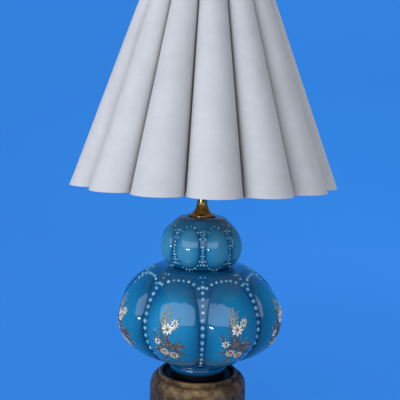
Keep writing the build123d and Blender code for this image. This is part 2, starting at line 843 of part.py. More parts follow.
parts = {
    "felt_pad": make_felt_pad(),
    "base_casting": make_base_casting(),
    "cord_bushing": make_cord_bushing(),
    "base_washer": disc(
        washer_radius, deck_bottom - washer_thickness, washer_thickness, pipe_radius + loose_fit
    ),
    "base_locknut": hex_nut(deck_bottom - washer_thickness - nut_thickness),
    "lamp_pipe": make_lamp_pipe(),
    "foot_seat": make_foot_seat(),
    "lower_glass": make_lower_glass(),
    "waist_collar": make_waist_collar(),
    "upper_glass": make_upper_glass(),
    "trumpet_cap": make_trumpet_cap(),
    "neck_locknut": hex_nut(cap_top),
    "harp_saddle": make_harp_saddle(),
    "socket_cap": make_socket_cap(),
    "set_screw": make_set_screw(),
    "socket_shell": make_socket_shell(),
    "socket_insulator": make_socket_insulator(),
    "socket_block": make_socket_block(),
    "screw_shell": make_screw_shell(),
    "centre_contact": make_centre_contact(),
    "switch_knob": make_switch_knob(),
    "bulb_glass": make_bulb_glass(),
    "bulb_cap": make_bulb_cap(),
    "bulb_tip": make_bulb_tip(),
    "harp_wire": make_harp_wire(),
    "harp_stud": make_harp_stud(),
    "harp_sleeve_left": make_harp_sleeve(-1),
    "harp_sleeve_right": make_harp_sleeve(1),
    "shade_spider": make_shade_spider(),
    "shade_top_ring": make_shade_ring(top_ring_bottom()),
    "shade_bottom_ring": make_shade_ring(shade_rim_height + ring_inset),
    "shade_cover": make_shade_cover(),
    "finial": make_finial(),
}

os.makedirs("parts", exist_ok=True)
for name, part in parts.items():
    export_step(part, f"parts/{name}.step")
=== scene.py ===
import math
import random

import bmesh
import bpy
from mathutils import Matrix, Vector, noise


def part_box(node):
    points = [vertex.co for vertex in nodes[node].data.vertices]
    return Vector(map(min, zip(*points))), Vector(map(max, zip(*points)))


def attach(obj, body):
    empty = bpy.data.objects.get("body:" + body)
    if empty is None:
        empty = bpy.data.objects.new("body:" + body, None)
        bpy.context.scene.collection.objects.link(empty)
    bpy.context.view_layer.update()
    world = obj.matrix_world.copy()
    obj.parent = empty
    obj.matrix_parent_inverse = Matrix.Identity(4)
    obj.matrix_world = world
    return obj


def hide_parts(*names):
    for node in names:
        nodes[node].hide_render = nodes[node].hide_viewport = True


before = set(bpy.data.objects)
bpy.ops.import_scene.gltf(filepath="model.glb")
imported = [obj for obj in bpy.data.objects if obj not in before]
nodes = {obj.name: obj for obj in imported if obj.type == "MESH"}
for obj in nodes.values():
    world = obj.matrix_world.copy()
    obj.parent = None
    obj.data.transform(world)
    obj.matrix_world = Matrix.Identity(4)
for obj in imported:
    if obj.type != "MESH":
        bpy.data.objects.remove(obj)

# A table lamp of lobed teal glass on a gilded base, under a fluted linen shade.
# Metres, +Z up, the front is -Y, and angles are in degrees unless a line says otherwise.

for startName in ("Cube", "Light", "Camera"):
    if startName in bpy.data.objects:
        bpy.data.objects.remove(bpy.data.objects[startName])

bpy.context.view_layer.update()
mm = 0.001
random.seed(7)


def top(node):
    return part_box(node)[1].z


def bottom(node):
    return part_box(node)[0].z


def rounded(centre, radii, start, stop, steps):
    # points on an arc in (radius, height), from one angle to the other
    turns = [math.radians(start + (stop - start) * k / steps) for k in range(steps + 1)]
    return [(centre[0] + radii[0] * math.cos(t), centre[1] + radii[1] * math.sin(t)) for t in turns]


def around(radius, turn, height=0.0):
    # a point at a distance from the lamp's axis, with the turn in radians
    return Vector((radius * math.cos(turn), radius * math.sin(turn), height))


# Shader maths and nodes

def tone(red, green, blue):
    # a screen colour from 0 to 255, as the linear colour that a socket takes
    linear = []
    for part in (red, green, blue):
        share = part / 255
        linear.append(share / 12.92 if share <= 0.04045 else ((share + 0.055) / 1.055) ** 2.4)
    return (*linear, 1.0)


class Signal:
    # a node's output, on which the usual operators add Math nodes

    def __init__(self, finish, socket):
        self.finish = finish
        self.socket = socket

    def maths(self, operation, first, second=None):
        values = {0: first} if second is None else {0: first, 1: second}
        return self.finish.node("ShaderNodeMath", {"operation": operation}, values)

    def __add__(self, other):
        return self.maths("ADD", self, other)

    def __sub__(self, other):
        return self.maths("SUBTRACT", self, other)

    def __rsub__(self, other):
        return self.maths("SUBTRACT", other, self)

    def __mul__(self, other):
        return self.maths("MULTIPLY", self, other)

    def __truediv__(self, other):
        return self.maths("DIVIDE", self, other)

    def sine(self):
        return self.maths("SINE", self)

    def upTo(self, limit):
        return self.maths("MINIMUM", self, limit)


class Finish:
    # a material, built round one Principled shader

    def __init__(self, name, **constants):
        self.material = bpy.data.materials.new(name)
        self.material.use_nodes = True
        self.tree = self.material.node_tree
        self.shader = self.tree.nodes["Principled BSDF"]
        for socket, value in constants.items():
            self.shader.inputs[socket.replace("_", " ")].default_value = value

    def node(self, kind, settings=None, values=None, output=0):
        made = self.tree.nodes.new(kind)
        for name, value in (settings or {}).items():
            if name == "stops":
                self.setStops(made.color_ramp, value)
            else:
                setattr(made, name, value)
        for key, value in (values or {}).items():
            self.feed(made.inputs[key], value)
        return Signal(self, made.outputs[output])

    def setStops(self, ramp, stops):
        while len(ramp.elements) < len(stops):
            ramp.elements.new(0.5)
        for element, (place, colour) in zip(ramp.elements, stops):
            element.position = place
            element.color = colour

    def feed(self, socket, value):
        if isinstance(value, Signal):
            self.tree.links.new(value.socket, socket)
        else:
            socket.default_value = value

    def set(self, **signals):
        for name, value in signals.items():
            self.feed(self.shader.inputs[name.replace("_", " ")], value)
        return self

    def place(self, stretch=(1, 1, 1)):
        # the object's own coordinates, stretched, for a pattern that is fixed to the piece
        where = self.node("ShaderNodeTexCoord", output="Object")
        return self.node("ShaderNodeMapping", {}, {"Vector": where, "Scale": stretch})

    def axes(self, where):
        split = self.node("ShaderNodeSeparateXYZ", {}, {0: where})
        outputs = split.socket.node.outputs
        return [Signal(self, outputs[k]) for k in range(3)]

    def cloth(self, name):
        # the piece's own map, in metres along the cloth
        where = self.node("ShaderNodeUVMap", {"uv_map": name})
        return self.axes(where)[:2]

    def painted(self, name):
        # a value painted on the piece's own points
        return self.node("ShaderNodeAttribute", {"attribute_name": name}, output="Fac")

    def mottle(self, where, scale, detail=4.0, roughness=0.55, distortion=0.0):
        values = {"Vector": where, "Scale": scale, "Detail": detail, "Roughness": roughness}
        values["Distortion"] = distortion
        return self.node("ShaderNodeTexNoise", {}, values)

    def cells(self, where, scale):
        return self.node("ShaderNodeTexVoronoi", {}, {"Vector": where, "Scale": scale})

    def ramp(self, factor, *stops):
        return self.node("ShaderNodeValToRGB", {"stops": stops}, {0: factor})

    def level(self, factor, low, high, start=0.0, stop=1.0):
        # the factor between low and high, brought to between start and stop
        values = {"Value": factor, "From Min": low, "From Max": high, "To Min": start, "To Max": stop}
        return self.node("ShaderNodeMapRange", {"clamp": True}, values)

    def mix(self, factor, first, second):
        settings = {"data_type": "RGBA", "blend_type": "MIX"}
        return self.node("ShaderNodeMix", settings, {0: factor, 6: first, 7: second}, output=2)

    def bump(self, height, depth, strength=1.0):
        return self.node("ShaderNodeBump", {}, {"Height": height, "Distance": depth, "Strength": strength})


# Finishes

def tealGlassFinish():
    # cased glass: deep teal, paler where a lobe is blown thin, and darkened by painted shade along each
    # lobe's edge
    glass = Finish("tealCasedGlass", Roughness=0.30, IOR=1.5)
    glass.set(Coat_Weight=1.0, Coat_Roughness=0.03, Coat_IOR=1.66, Specular_IOR_Level=0.08)
    where = glass.place()
    cloud = glass.mottle(where, 9.0, 3.0, 0.5, 0.4)
    streak = glass.mottle(glass.place((1, 1, 0.35)), 26.0, 4.0, 0.6, 0.8)
    speck = glass.cells(where, 260.0)
    lobe = glass.painted("lobe")
    crease = glass.painted("crease")
    thin = glass.level(lobe * 0.7 + (cloud - 0.5) * 0.6 + (streak - 0.5) * 0.25, 0.0, 1.1)
    colour = glass.ramp(
        thin,
        (0.0, tone(2, 78, 122)),
        (0.38, tone(8, 98, 142)),
        (0.70, tone(22, 125, 172)),
        (1.0, tone(62, 142, 178)),
    )
    seed = 1 - glass.level(speck, 0.03, 0.07)
    colour = glass.mix(seed * 0.25, colour, tone(70, 150, 180))
    # painted shade: a dark teal line along the edge of each lobe
    colour = glass.mix(crease * 0.38, colour, tone(2, 46, 76))
    waves = glass.mottle(where, 30.0, 2.0, 0.4)
    glass.set(Base_Color=colour, Roughness=glass.level(streak, 0.3, 0.7, 0.26, 0.38))
    glass.set(Normal=glass.bump(waves, 0.0006, 0.3))
    return glass.material


def beadGlassFinish():
    # the raised dots: the same glass, painted much paler than the body as a painted highlight for the light
    # they catch, with random clouding
    glass = Finish("beadGlassPaintedHighlight", Roughness=0.14, IOR=1.5)
    glass.set(Coat_Weight=1.0, Coat_Roughness=0.10, Coat_IOR=1.72)
    cloud = glass.mottle(glass.place(), 140.0, 3.0)
    colour = glass.ramp(
        cloud,
        (0.32, tone(60, 138, 172)),
        (0.50, tone(100, 170, 196)),
        (0.68, tone(170, 212, 226)),
    )
    glass.set(Base_Color=colour, Roughness=glass.level(cloud, 0.3, 0.7, 0.10, 0.22))
    return glass.material


def gildedFinish():
    # gilding over a dark ground, rubbed through and stained in random patches
    gilt = Finish("mottledGilding", Roughness=0.4, Specular_IOR_Level=0.22)
    where = gilt.place()
    broad = gilt.mottle(where, 17.0, 6.0, 0.62, 1.3)
    fine = gilt.mottle(where, 130.0, 6.0, 0.7)
    drips = gilt.mottle(gilt.place((1, 1, 0.3)), 42.0, 5.0, 0.65, 1.6)
    pits = gilt.cells(where, 330.0)
    mixed = broad * 0.50 + drips * 0.28 + fine * 0.22
    colour = gilt.ramp(
        mixed,
        (0.38, tone(28, 20, 12)),
        (0.44, tone(70, 52, 32)),
        (0.51, tone(110, 85, 54)),
        (0.58, tone(150, 121, 78)),
        (0.67, tone(212, 182, 126)),
    )
    stain = gilt.level(gilt.mottle(where, 60.0, 5.0, 0.7, 0.5), 0.56, 0.64)
    colour = gilt.mix(stain * 0.75, colour, tone(32, 23, 18))
    pit = 1 - gilt.level(pits, 0.06, 0.14)
    colour = gilt.mix(pit * 0.5, colour, tone(22, 16, 12))
    gilt.set(Base_Color=colour)
    gilt.set(Metallic=gilt.level(mixed, 0.42, 0.62, 0.05, 0.65))
    gilt.set(Roughness=gilt.level(fine + (broad - 0.5), 0.25, 0.75, 0.55, 0.30))
    gilt.set(Normal=gilt.bump(mixed * 0.8 + fine * 0.4 - pit * 0.4, 0.0016, 0.7))
    return gilt.material


def darkBrassFinish():
    # spun brass, polished and then browned with age
    brass = Finish("darkBrass", Metallic=1.0)
    where = brass.place()
    tarnish = brass.mottle(where, 34.0, 5.0, 0.6, 0.9)
    spinning = brass.mottle(brass.place((0.04, 0.04, 1)), 900.0, 2.0)
    colour = brass.ramp(
        tarnish,
        (0.32, tone(138, 88, 38)),
        (0.50, tone(192, 134, 66)),
        (0.68, tone(234, 184, 112)),
    )
    brass.set(Base_Color=colour, Roughness=brass.level(tarnish, 0.3, 0.7, 0.24, 0.14))
    brass.set(Normal=brass.bump(spinning, 0.00006, 0.5))
    return brass.material


def brightBrassFinish():
    # plated brass on the harp, the socket and the small hardware
    brass = Finish("platedBrass", Metallic=1.0)
    where = brass.place()
    haze = brass.mottle(where, 60.0, 5.0, 0.6)
    fine = brass.mottle(where, 900.0, 3.0)
    colour = brass.ramp(haze, (0.3, tone(176, 132, 62)), (0.7, tone(220, 180, 104)))
    brass.set(Base_Color=colour, Roughness=brass.level(haze + (fine - 0.5) * 0.3, 0.3, 0.7, 0.30, 0.16))
    brass.set(Normal=brass.bump(fine, 0.00004, 0.4))
    return brass.material


def steelFinish(name, dark, light, coarse=0.34):
    # zinc plated steel or rolled aluminium, with a fine grain
    steel = Finish(name, Metallic=1.0)
    where = steel.place()
    cloud = steel.mottle(where, 80.0, 5.0, 0.6)
    grain = steel.mottle(steel.place((1, 1, 0.1)), 1500.0, 2.0)
    colour = steel.ramp(cloud, (0.3, dark), (0.7, light))
    steel.set(Base_Color=colour, Roughness=steel.level(cloud, 0.3, 0.7, coarse + 0.08, coarse - 0.08))
    steel.set(Normal=steel.bump(grain, 0.00004, 0.5))
    return steel.material


def mouldedFinish(name, dark, light, gloss=0.45, grainScale=700.0, shine=0.5):
    # moulded or lacquered pieces: a close grain and faint clouding
    skin = Finish(name, IOR=1.49, Specular_IOR_Level=shine)
    where = skin.place()
    cloud = skin.mottle(where, 45.0, 4.0)
    grain = skin.mottle(where, grainScale, 3.0)
    skin.set(Base_Color=skin.ramp(cloud, (0.3, dark), (0.7, light)))
    skin.set(Roughness=skin.level(cloud + (grain - 0.5) * 0.4, 0.3, 0.7, gloss - 0.07, gloss + 0.07))
    skin.set(Normal=skin.bump(grain, 0.00008, 0.5))
    return skin.material


def feltFinish():
    # pressed wool felt under the base
    felt = Finish("greenBlackFelt", Roughness=0.95, Sheen_Weight=0.4, Sheen_Roughness=0.5)
    where = felt.place()
    fluff = felt.mottle(where, 420.0, 6.0, 0.75, 1.5)
    blotch = felt.mottle(where, 30.0, 3.0)
    colour = felt.ramp(fluff * 0.7 + blotch * 0.3, (0.35, tone(16, 20, 16)), (0.65, tone(52, 58, 48)))
    felt.set(Base_Color=colour, Normal=felt.bump(fluff, 0.0005, 0.9))
    return felt.material


def linenFinish():
    # plain weave linen stretched on the shade: threads along and round it, with slubs, and painted shade
    # darkening it towards each valley
    linen = Finish("greyWhiteLinen", Roughness=0.86, Sheen_Weight=0.15, Sheen_Roughness=0.6)
    linen.set(Specular_IOR_Level=0.2)
    across, along = linen.cloth("weave")
    pitch = 0.7 * mm
    wander = (linen.mottle(linen.place(), 70.0, 2.0) - 0.5) * 0.8
    warp = ((across / pitch + wander) * math.tau).sine()
    weft = ((along / pitch + wander) * math.tau).sine()
    weave = warp * 0.5 + weft * 0.5
    acrossThread = linen.node("ShaderNodeCombineXYZ", {}, {0: across * 14, 1: along * 420, 2: 0})
    alongThread = linen.node("ShaderNodeCombineXYZ", {}, {0: across * 420, 1: along * 14, 2: 3})
    slub = linen.mottle(acrossThread, 1.0, 3.0) * 0.5 + linen.mottle(alongThread, 1.0, 3.0) * 0.5
    soil = linen.mottle(linen.place(), 16.0, 6.0, 0.62)
    creases = linen.mottle(linen.place((1, 1, 0.25)), 34.0, 3.0)
    shade = linen.level(soil * 0.6 + slub * 0.25 + creases * 0.15 + weave * 0.01, 0.36, 0.64)
    colour = linen.ramp(
        shade,
        (0.0, tone(199, 199, 201)),
        (0.5, tone(206, 206, 209)),
        (1.0, tone(212, 212, 215)),
    )
    # painted shade: the cloth darkens towards each valley's fold
    fold = linen.painted("fold")
    colour = linen.mix(fold * 0.9, colour, tone(98, 91, 83))
    linen.set(Base_Color=colour, Roughness=linen.level(slub, 0.3, 0.7, 0.80, 0.92))
    linen.set(Normal=linen.bump(weave * 0.3 + slub * 1.2 + creases * 2.0, 0.0004, 0.6))
    return linen.material


def liningFinish():
    # the stiff white backing inside the shade
    lining = Finish("shadeLining", Roughness=0.55)
    where = lining.place()
    cloud = lining.mottle(where, 14.0, 4.0)
    pebble = lining.mottle(where, 800.0, 2.0)
    lining.set(Base_Color=lining.ramp(cloud, (0.3, tone(226, 222, 212)), (0.7, tone(238, 235, 227))))
    lining.set(Roughness=lining.level(pebble, 0.3, 0.7, 0.46, 0.62))
    lining.set(Normal=lining.bump(pebble, 0.00008, 0.5))
    return lining.material


def frostedGlassFinish():
    # the bulb's inside frosted envelope
    frosted = Finish("frostedBulbGlass", IOR=1.5)
    frosted.set(Coat_Weight=0.8, Coat_Roughness=0.05)
    cloud = frosted.mottle(frosted.place(), 30.0, 4.0)
    frosted.set(Base_Color=frosted.ramp(cloud, (0.3, tone(232, 232, 226)), (0.7, tone(246, 246, 242))))
    frosted.set(Roughness=frosted.level(cloud, 0.3, 0.7, 0.32, 0.42))
    return frosted.material


def enamelFinish(name, dark, middle, light, scale):
    # fired enamel of the applied flowers, slightly uneven in colour and thickness
    enamel = Finish(name, IOR=1.5)
    enamel.set(Coat_Weight=0.6, Coat_Roughness=0.12)
    where = enamel.place()
    cloud = enamel.mottle(where, scale, 3.0, 0.6)
    stops = (0.34, tone(*dark)), (0.50, tone(*middle)), (0.66, tone(*light))
    enamel.set(Base_Color=enamel.ramp(cloud, *stops))
    enamel.set(Roughness=enamel.level(cloud, 0.3, 0.7, 0.30, 0.46))
    enamel.set(Normal=enamel.bump(cloud, 0.0002, 0.5))
    return enamel.material


finishes = {
    "glass": tealGlassFinish(),
    "bead": beadGlassFinish(),
    "gilt": gildedFinish(),
    "darkBrass": darkBrassFinish(),
    "brass": brightBrassFinish(),
    "zinc": steelFinish("zincPlatedSteel", tone(148, 150, 150), tone(196, 198, 196)),
    "aluminium": steelFinish("rolledAluminium", tone(180, 182, 184), tone(216, 218, 220), 0.28),
    "blackLacquer": mouldedFinish("blackLacquer", tone(7, 7, 7), tone(15, 14, 14), 0.5, shine=0.12),
    "blackMoulding": mouldedFinish("blackMoulding", tone(18, 18, 18), tone(34, 33, 32), 0.42),
    "fibre": mouldedFinish("fibreCard", tone(160, 136, 98), tone(190, 166, 126), 0.75, 400.0),
    "ceramic": mouldedFinish("whiteCeramic", tone(214, 208, 196), tone(236, 231, 221), 0.32),
    "felt": feltFinish(),
    "linen": linenFinish(),
    "lining": liningFinish(),
    "frosted": frostedGlassFinish(),
    "whiteWire": mouldedFinish("whiteCoatedWire", tone(214, 212, 204), tone(234, 232, 226), 0.38),
}

# enamels of the applied flowers: three colours, dark to light, and the scale of their clouding
enamelFacts = {
    "petal": ("petalEnamel", (206, 204, 196), (236, 234, 226), (250, 249, 244), 500.0),
    "cream": ("creamEnamel", (172, 140, 104), (216, 192, 158), (240, 224, 198), 500.0),
    "heart": ("goldHeartEnamel", (120, 74, 24), (170, 118, 46), (206, 160, 84), 500.0),
    "brown": ("brownHeartEnamel", (46, 32, 26), (86, 62, 46), (122, 92, 68), 500.0),
    "leaf": ("oliveEnamel", (40, 42, 26), (82, 80, 48), (128, 118, 76), 260.0),
    "russet": ("russetEnamel", (66, 34, 28), (112, 66, 50), (150, 100, 74), 260.0),
    "sprig": ("paleSprigEnamel", (120, 120, 96), (170, 166, 136), (206, 200, 172), 500.0),
}
enamels = {kind: enamelFinish(*facts) for kind, facts in enamelFacts.items()}
print("finishes made")


# Making pieces

def spinProfile(points, steps):
    # turns a closed chain of (radius, height) points about the lamp's axis, a full turn
    mesh = bmesh.new()
    corners = [mesh.verts.new((radius, 0, height)) for radius, height in points]
    for pair in zip(corners, corners[1:] + corners[:1]):
        mesh.edges.new(pair)
    bmesh.ops.spin(
        mesh, geom=mesh.verts[:] + mesh.edges[:], cent=(0, 0, 0), axis=(0, 0, 1), dvec=(0, 0, 0),
        angle=math.tau, steps=steps, use_merge=True, use_normal_flip=False, use_duplicate=False,
    )
    bmesh.ops.remove_doubles(mesh, verts=mesh.verts, dist=1e-7)
    return mesh


def addObject(name, data):
    made = bpy.data.objects.new(name, data)
    bpy.context.scene.collection.objects.link(made)
    return made


def meshObject(mesh, name, materials):
    for face in mesh.faces:
        face.smooth = True
    data = bpy.data.meshes.new(name)
    mesh.to_mesh(data)
    mesh.free()
    for material in materials:
        data.materials.append(material)
    return addObject(name, data)


def keepPiece(mesh, name, body, materials, crease=None, replaces=()):
    # Turns the working mesh into a piece that rides on a body. Edges sharper than crease stay crisp.
    bmesh.ops.recalc_face_normals(mesh, faces=mesh.faces)
    if crease is not None:
        for edge in mesh.edges:
            if len(edge.link_faces) == 2 and edge.calc_face_angle(0) > math.radians(crease):
                edge.smooth = False
    piece = meshObject(mesh, name, materials)
    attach(piece, body)
    if replaces:
        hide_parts(*replaces)
    return piece


class Stamp:
    # a small shape that is copied into a larger mesh, moved and sized each time

    def __init__(self, name, maker, **facts):
        mesh = bmesh.new()
        maker(mesh, **facts)
        self.data = bpy.data.meshes.new(name)
        mesh.to_mesh(self.data)
        mesh.free()

    def press(self, mesh, matrix, material=0):
        copied = self.data.copy()
        copied.transform(matrix)
        copied.polygons.foreach_set("material_index", [material] * len(copied.polygons))
        mesh.from_mesh(copied)
        bpy.data.meshes.remove(copied)


dotStamp = Stamp("dotStamp", bmesh.ops.create_icosphere, subdivisions=2, radius=1.0)
petalStamp = Stamp("petalStamp", bmesh.ops.create_uvsphere, u_segments=6, v_segments=4, radius=1.0)


def turnedPiece(name, body, finish, points, steps, crease, replaces):
    keepPiece(spinProfile(points, steps), name, body, [finishes[finish]], crease, replaces)


# Lobed glass

# Each glass is a round body of two half ellipses, with lobes that stand out of it. Between
# two lobes runs a valley with a row of beads.
lobeCount = 8
lobeStep = math.tau / lobeCount
glassTurn = math.radians(2.5)  # the glass stands turned a little on its foot
glassWall = 4.0 * mm

lowerGlass = {
    "centre": 201.3 * mm,
    "radius": 133.2 * mm,
    "up": 101.5 * mm,
    "down": 88.2 * mm,
    "lobeTop": 276.5 * mm,
    "lobeBottom": 118.0 * mm,
    "lobeDepth": 12.5 * mm,
    "topSharpness": 2.2,
    "bottomSharpness": 12.0,
    "bottomSwell": 0.28,
    "valley": 4.8 * mm,  # half width
    "channel": 2.2 * mm,  # depth of the valley below the round body
    "closedBottom": False,
    "paleness": 1.0,  # how much paler the lobes are than the valleys
    "thinness": 0.05,
    "inner": 19,  # mesh columns across half a lobe, and from its edge to the valley's middle
    "outer": 5,
}

upperGlass = {
    "centre": 321.2 * mm,
    "radius": 66.8 * mm,
    "up": 59.5 * mm,
    "down": 60.0 * mm,
    "lobeTop": 357.5 * mm,
    "lobeBottom": 289.5 * mm,
    "lobeDepth": 6.0 * mm,
    "topSharpness": 2.4,
    "bottomSharpness": 2.6,
    "bottomSwell": 0.0,
    "valley": 4.6 * mm,
    "channel": 0.8 * mm,
    "closedBottom": True,
    "paleness": 1.1,
    "thinness": 0.55,
    "inner": 15,
    "outer": 5,
}

edgeSteepness = 0.56  # of a lobe's side, where 1 is a plain curve
archRoundness = 2.7  # of the arch in which a lobe closes, where 2 is an ellipse
narrowest = math.radians(1.2)  # half turn of a lobe where it has run out
creaseShadeWidth = 1.9 * mm  # how far the painted shade reaches from a lobe's edge
creaseShadeGain = 2.5  # how soon the painted shade deepens where a lobe begins to rise
curveSteps = 400  # steps in which the body's curve is measured


def bodyRadius(form, height):
    # radius of the round body, without its lobes
    rise = height - form["centre"]
    half = form["up"] if rise > 0 else form["down"]
    return form["radius"] * math.sqrt(max(1 - (rise / half) ** 2, 0.0))


def lobeShare(form, height):
    # how far a height is from the lobes' widest level, as a share of the way to their end
    rise = height - form["centre"]
    end = (form["lobeTop"] if rise > 0 else form["lobeBottom"]) - form["centre"]
    return min(rise / end, 1.0), rise > 0


def lobeHalfTurn(form, height):
    # Half the turn that a lobe takes up at a height. It closes in an arch, but for an open bottom.
    share, above = lobeShare(form, height)
    widest = lobeStep / 2 - form["valley"] / form["radius"]
    if above or form["closedBottom"]:
        return max(widest * (1 - share**archRoundness) ** (1 / archRoundness), narrowest)
    return widest


def lobeRise(form, height):
    # how far a lobe's crest stands out of the round body at a height
    share, above = lobeShare(form, height)
    sharpness = form["topSharpness"] if above else form["bottomSharpness"]
    swell = 1 if above else 1 + form["bottomSwell"] * share**2
    return form["lobeDepth"] * swell * math.sqrt(1 - share**sharpness)


def valleyRadius(form, height):
    share, above = lobeShare(form, height)
    return bodyRadius(form, height) - form["channel"] * (1 - share**4)


def lobeTurn(turn):
    # signed turn from the middle of the nearest lobe
    return (turn - glassTurn + math.pi / 2) % lobeStep - lobeStep / 2


def glassRadius(form, turn, height):
    # radius of the glass skin at a turn round the axis and a height
    floor = valleyRadius(form, height)
    crest = bodyRadius(form, height) + lobeRise(form, height)
    aside = lobeTurn(turn) / lobeHalfTurn(form, height)
    return floor + (crest - floor) * max(1 - aside**2, 0.0) ** edgeSteepness


def glassPoint(form, turn, height, lift=0.0):
    # a point on the glass, and the outward direction there
    spread = 0.6 * mm
    turns = [turn - spread / form["radius"], turn + spread / form["radius"]]
    left, right = [around(glassRadius(form, t, height), t, height) for t in turns]
    heights = [height - spread, height + spread]
    below, above = [around(glassRadius(form, turn, h), turn, h) for h in heights]
    outward = (right - left).cross(above - below).normalized()
    return around(glassRadius(form, turn, height), turn, height) + outward * lift, outward


def evenHeights(form, low, high, count):
    # heights between two levels, evenly spaced along the body's curve
    fine = [low + (high - low) * k / curveSteps for k in range(curveSteps + 1)]
    run = [0.0]
    for first, second in zip(fine, fine[1:]):
        step = math.hypot(second - first, bodyRadius(form, second) - bodyRadius(form, first))
        run.append(run[-1] + step)
    heights = []
    for k in range(count):
        wanted = run[-1] * k / (count - 1)
        place = next(i for i, length in enumerate(run) if length >= wanted - 1e-9)
        heights.append(fine[place])
    return heights


def columnTurn(form, column, height):
    # Turn of a mesh column. The columns follow the lobes' edges, so that these stay crisp.
    perHalf = form["inner"] + form["outer"]
    lobe, place = divmod(column, 2 * perHalf)
    away = place - perHalf
    side = 1 if away >= 0 else -1
    edge = lobeHalfTurn(form, height)
    if abs(away) <= form["inner"]:
        turn = edge * math.sin(math.pi / 2 * abs(away) / form["inner"])
    else:
        turn = edge + (lobeStep / 2 - edge) * (abs(away) - form["inner"]) / form["outer"]
    return glassTurn - math.pi / 2 + (lobe + 0.5) * lobeStep + side * turn


def wrapGrid(columns, rows, place):
    # A closed band round the axis. Its columns and rows are placed by a rule.
    mesh = bmesh.new()
    bmesh.ops.create_grid(mesh, x_segments=columns, y_segments=rows, size=1)
    for vert in mesh.verts:
        column = round((vert.co.x + 1) / 2 * columns) % columns
        row = round((vert.co.y + 1) / 2 * rows) % rows
        vert.co = place(column, row)
    bmesh.ops.remove_doubles(mesh, verts=mesh.verts, dist=1e-6)
    return mesh


def lobedGlass(form, plainLow, skin, plainHigh, inner):
    # a blown wall from its profile: plain ends, a lobed skin and a lobed inside, from heights
    rows = [(radius, height, None) for radius, height in plainLow]
    rows += [(0, height, 0.0) for height in skin]
    rows += [(radius, height, None) for radius, height in plainHigh]
    rows += [(0, height, glassWall) for height in reversed(inner)]

    def place(column, row):
        radius, height, inset = rows[row]
        turn = columnTurn(form, column, height)
        if inset is not None:
            radius = glassRadius(form, turn, height) - inset
        return around(radius, turn, height)

    columns = lobeCount * 2 * (form["inner"] + form["outer"])
    mesh = wrapGrid(columns, len(rows), place)
    lobeLayer = mesh.verts.layers.float.new("lobe")
    creaseShadeLayer = mesh.verts.layers.float.new("crease")
    for vert in mesh.verts:
        turn, height = math.atan2(vert.co.y, vert.co.x), vert.co.z
        if not skin[0] <= height <= skin[-1]:
            continue
        stand = glassRadius(form, turn, height) - valleyRadius(form, height)
        raised = lobeRise(form, height) / form["lobeDepth"]
        gap = abs(abs(lobeTurn(turn)) - lobeHalfTurn(form, height)) * form["radius"]
        vert[lobeLayer] = form["thinness"] + min(stand / form["lobeDepth"], 1.0) * form["paleness"]
        # painted shade: strongest at a lobe's edge, fading where the lobe has barely risen
        vert[creaseShadeLayer] = math.exp(-((gap / creaseShadeWidth) ** 2)) * min(raised * creaseShadeGain, 1.0)
    return mesh


def makeLowerGlass():
    form = lowerGlass
    foot, waist = bottom("lower_glass"), top("lower_glass")
    neck = foot + 12.5 * mm
    start, stop = neck + 5.5 * mm, waist - 1.8 * mm
    low = [(40 * mm, neck + 4 * mm), (40 * mm, foot + 1 * mm), (41 * mm, foot), (46.5 * mm, foot)]
    low += rounded((48 * mm, foot + 6.5 * mm), (3 * mm, 5.8 * mm), -75, 75, 10)
    low += [(48.6 * mm, neck + 1.2 * mm), (49 * mm, neck + 3.2 * mm)]
    rim = [(61 * mm, waist - 0.9 * mm), (58 * mm, waist - 0.2 * mm), (56 * mm, waist), (46 * mm, waist)]
    rim += [(46 * mm, waist - glassWall)]
    inner = evenHeights(form, start + 2 * glassWall, stop - glassWall, 26)
    return lobedGlass(form, low, evenHeights(form, start, stop, 104), rim, inner)


def makeUpperGlass():
    form = upperGlass
    low, high = bottom("upper_glass"), top("upper_glass")
    crease = high - 5.2 * mm
    foot = [(46 * mm, low + glassWall), (46 * mm, low + 0.4 * mm), (46.4 * mm, low), (52.6 * mm, low)]
    crown = [(43.6 * mm, crease + 0.3 * mm)]
    crown += rounded((29 * mm, crease + 0.2 * mm), (13.8 * mm, 5.0 * mm), 10, 90, 9)
    crown += [(17 * mm, high), (17 * mm, high - glassWall), (34 * mm, crease - glassWall / 2)]
    skin = evenHeights(form, low + 0.8 * mm, crease - 0.6 * mm, 76)
    inner = evenHeights(form, low + glassWall, crease - 2 * glassWall, 20)
    return lobedGlass(form, foot, skin, crown, inner)


teal = [finishes["glass"]]
keepPiece(makeLowerGlass(), "lowerGlassBody", "stand", teal, 60, ["lower_glass"])
keepPiece(makeUpperGlass(), "upperGlassBody", "stand", teal, 60, ["upper_glass"])
print("glass made")


# Beads on the glass

beadSwing = 0.10  # how unevenly the beads were pressed, as a share of their size
beadProud = 0.72  # how far a bead stands out of the glass, as a share of its size


def addBead(mesh, form, turn, height, size):
    # a dot of glass, as wide as size all round and proud of the skin by a share of it
    point, outward = glassPoint(form, turn, height)
    settle = Matrix.Translation(point) @ outward.to_track_quat("Z", "Y").to_matrix().to_4x4()
    wide = size * random.uniform(1 - beadSwing, 1 + beadSwing)
    dotStamp.press(mesh, settle @ Matrix.Diagonal((wide, size, size * beadProud, 1)))


def valleyTurn(index):
    return glassTurn - math.pi / 2 + index * lobeStep


lowerBeads = {
    "rowHeights": (
        130.5, 140.6, 151, 161.9, 173.1, 185.2, 197.9, 209.7, 221.7, 232.7, 243.1, 252.4, 261, 268.6,
    ),
    "rowSway": 0.0020,  # how far the row strays from the middle of its valley
    "rowSize": 4.0 * mm,
    "endSize": 2.6 * mm,
    "tipHeight": 275.5 * mm,
    "tipSize": 2.0 * mm,
    "archTop": 276.0 * mm,
    "archDrop": 14 * mm,
    "archCurve": 2.6,
    "archPlaces": (-0.84, -0.6, -0.36, -0.12, 0.12, 0.36, 0.6, 0.84),
    "archSize": 3.1 * mm,
    "pairHeight": 281 * mm,
    "pairTurn": 0.045,
    "pairSize": 1.9 * mm,
}


